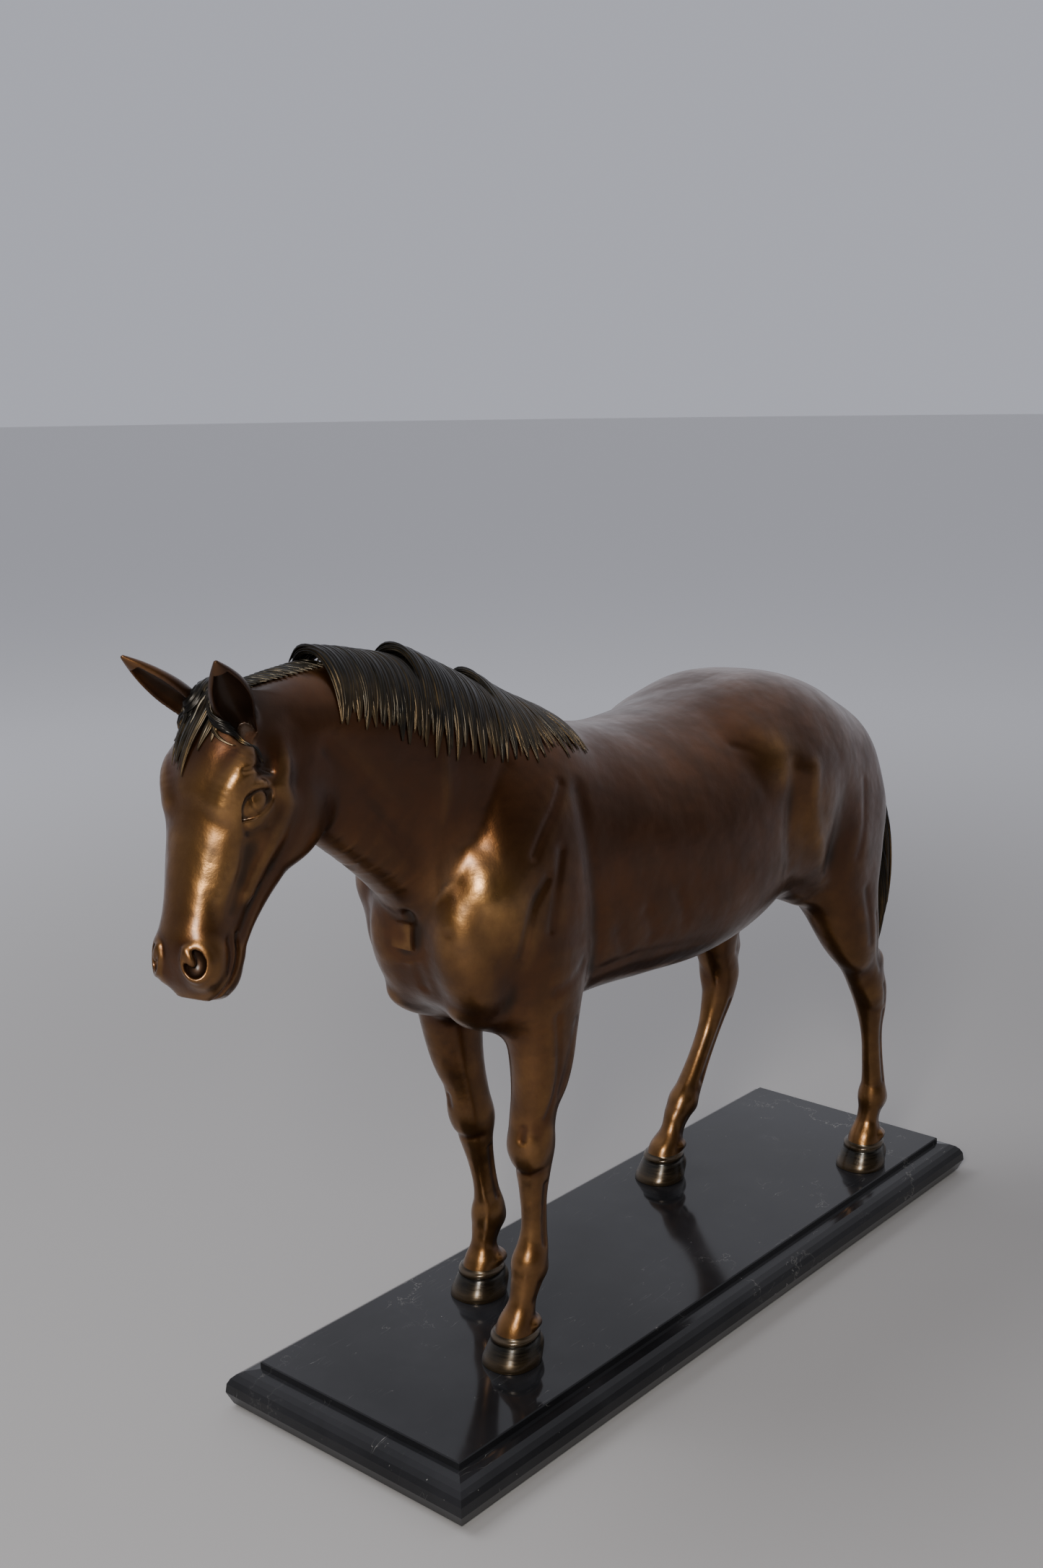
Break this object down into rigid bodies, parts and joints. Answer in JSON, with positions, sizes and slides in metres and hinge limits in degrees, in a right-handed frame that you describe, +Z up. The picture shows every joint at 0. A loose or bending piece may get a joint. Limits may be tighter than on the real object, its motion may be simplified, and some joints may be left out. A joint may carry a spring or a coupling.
{
  "type": "bronze horse statue",
  "caption": "Standing horse with lowered head cast in patinated bronze, one hind leg stepping forward, bolted by its hooves to a moulded black marble base.",
  "frame": {"origin": "centre of the felt underside of the base, at the level the statue stands on", "axes": "+Z up, the horse faces -X, its left flank faces -Y, the base's long side lies along X"},
  "size_m": [0.6344, 0.178, 0.4413],
  "materials": {
    "bronze": "brown patinated bronze, waxed, rubbed to gold on the raised forms",
    "dark_bronze": "green-black patina in the hair, rubbed through on the strands' crests",
    "hoof_bronze": "near-black patina, satin",
    "marble": "polished black marble with a few thin pale veins",
    "felt": "wool felt",
    "steel": "plain steel"
  },
  "bodies": {
    "root": {"marble_base": "marble", "base_felt": "felt", "trunk_casting": "bronze", "neck_casting": "bronze", "head_casting": "bronze", "left_ear": "bronze", "right_ear": "bronze", "forelock": "dark_bronze", "clipped_mane": "dark_bronze", "mane_front_lock": "dark_bronze", "mane_middle_lock": "dark_bronze", "mane_rear_lock": "dark_bronze", "tail": "dark_bronze", "fore_left_leg": "bronze", "fore_left_hoof": "hoof_bronze", "fore_left_stud": "steel", "fore_left_washer": "steel", "fore_left_nut": "steel", "fore_right_leg": "bronze", "fore_right_hoof": "hoof_bronze", "fore_right_stud": "steel", "fore_right_washer": "steel", "fore_right_nut": "steel", "hind_left_leg": "bronze", "hind_left_hoof": "hoof_bronze", "hind_left_stud": "steel", "hind_left_washer": "steel", "hind_left_nut": "steel", "hind_right_leg": "bronze", "hind_right_hoof": "hoof_bronze", "hind_right_stud": "steel", "hind_right_washer": "steel", "hind_right_nut": "steel"}
  },
  "joints": []
}
